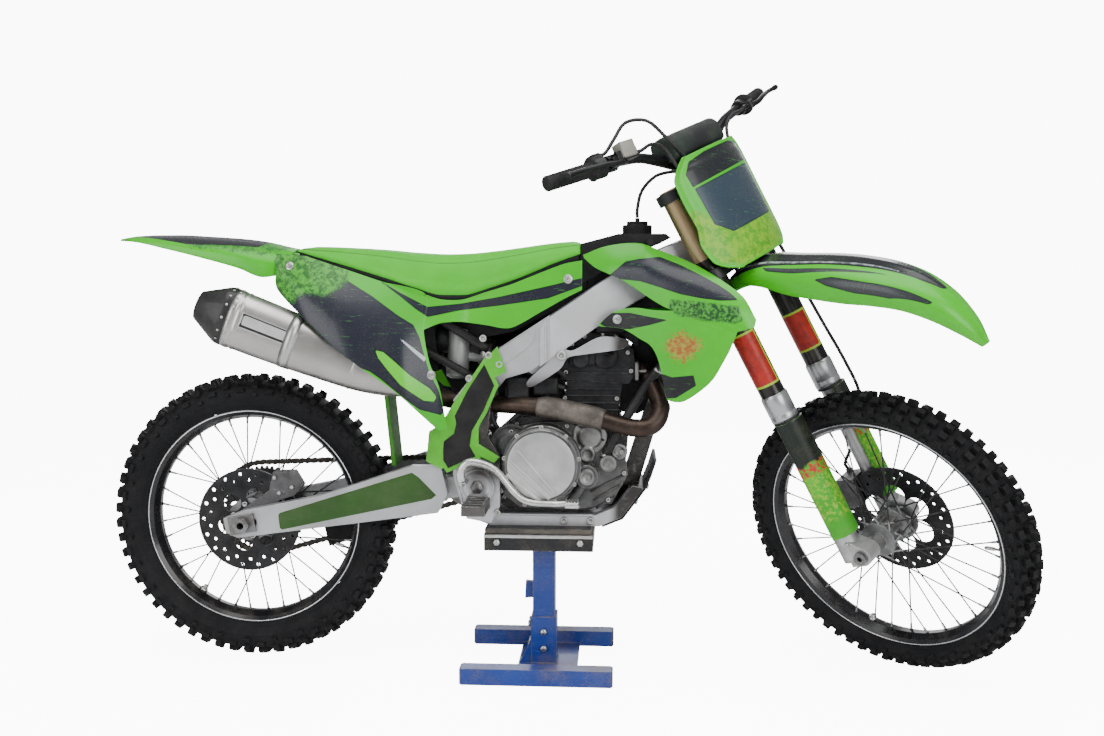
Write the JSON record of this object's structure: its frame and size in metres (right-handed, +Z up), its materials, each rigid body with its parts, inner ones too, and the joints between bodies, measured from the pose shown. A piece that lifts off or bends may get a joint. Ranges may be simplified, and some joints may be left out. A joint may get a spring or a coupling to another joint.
{
  "type": "off-road motorcycle on a lift stand",
  "caption": "Green off-road motorcycle raised on a blue lift stand, front wheel turned right; its wheels spin and its fork steers.",
  "frame": {"origin": "on the floor at the middle of the stand's base, in the motorcycle's centre plane", "axes": "+X towards the front wheel, +Y to the rider's left, +Z up"},
  "size_m": [2.0899, 0.6522, 1.3805],
  "materials": {
    "green_plastic": "glossy lime green moulded plastic with charcoal stripes",
    "dark_green_plastic": "green guards, scuffed",
    "black_plastic": "textured black plastic",
    "seat_cover": "ribbed green vinyl seat cover",
    "frame_alloy": "brushed cast and forged aluminium",
    "engine_alloy": "grey cast aluminium, dirty",
    "engine_black": "black painted castings",
    "header_steel": "heat stained steel",
    "muffler_skin": "brushed grey titanium look",
    "steel": "bare steel",
    "fork_tube": "dark coated tube with red field",
    "slider_chrome": "polished slider with dirty lug",
    "black_metal": "black anodised metal",
    "rubber": "black rubber",
    "tyre": "knobbly off-road tyre",
    "stand_paint": "blue paint worn at the edges",
    "stand_pad": "rubber pad on a steel tray",
    "chain_steel": "oily steel",
    "plate_plastic": "green board with a blank charcoal field"
  },
  "bodies": {
    "chassis": {"stand_base": "stand_paint", "stand_top": "stand_pad", "main_frame": "frame_alloy", "frame_guards": "dark_green_plastic", "subframe": "frame_alloy", "engine_cases": "engine_alloy", "engine_covers": "engine_alloy", "engine_top_end": "engine_black", "exhaust_header": "header_steel", "muffler": "muffler_skin", "muffler_end_cap": "black_plastic", "radiators": "engine_alloy", "fuel_tank": "black_plastic", "fuel_cap": "black_plastic", "vent_hose": "rubber", "shrouds": "green_plastic", "seat": "seat_cover", "side_panels": "green_plastic", "rear_fender": "green_plastic", "airbox": "black_plastic", "mud_flap": "dark_green_plastic", "swingarm": "frame_alloy", "rear_axle": "steel", "chain": "chain_steel", "chain_guide": "black_plastic", "shock_absorber": "steel", "shock_linkage": "engine_alloy", "footpegs": "steel", "foot_controls": "frame_alloy", "rear_caliper": "engine_alloy", "skid_plate": "black_plastic"},
    "steering": {"fork_outer_tubes": "fork_tube", "fork_sliders": "slider_chrome", "fork_guards": "dark_green_plastic", "triple_clamps": "black_metal", "handlebar": "black_metal", "bar_pad": "black_plastic", "grips": "rubber", "hand_controls": "black_metal", "control_cables": "rubber", "brake_hose": "rubber", "number_plate": "plate_plastic", "front_fender": "green_plastic", "front_caliper": "engine_alloy", "front_axle": "steel"},
    "front_wheel": {"front_tyre": "tyre", "front_rim": "black_metal", "front_spokes": "black_metal", "front_hub": "engine_alloy", "front_disc": "steel"},
    "rear_wheel": {"rear_tyre": "tyre", "rear_rim": "black_metal", "rear_spokes": "black_metal", "rear_hub": "engine_alloy", "rear_disc": "steel", "rear_sprocket": "chain_steel"}
  },
  "joints": [
    {"name": "steering_head", "type": "hinge", "parent": "chassis", "child": "steering", "pos_m": [0.7506, 0, 0.3188], "axis": [-0.4602, 0, 0.8878], "range_deg": [0, 86]},
    {"name": "front_wheel_spin", "type": "hinge", "parent": "steering", "child": "front_wheel", "pos_m": [0.79216, -0.04365, 0.34034], "axis": [0.6055, 0.7314, 0.3139], "continuous": true},
    {"name": "rear_wheel_spin", "type": "hinge", "parent": "chassis", "child": "rear_wheel", "pos_m": [-0.67589, 0, 0.34999], "axis": [0, 1, 0], "continuous": true}
  ]
}
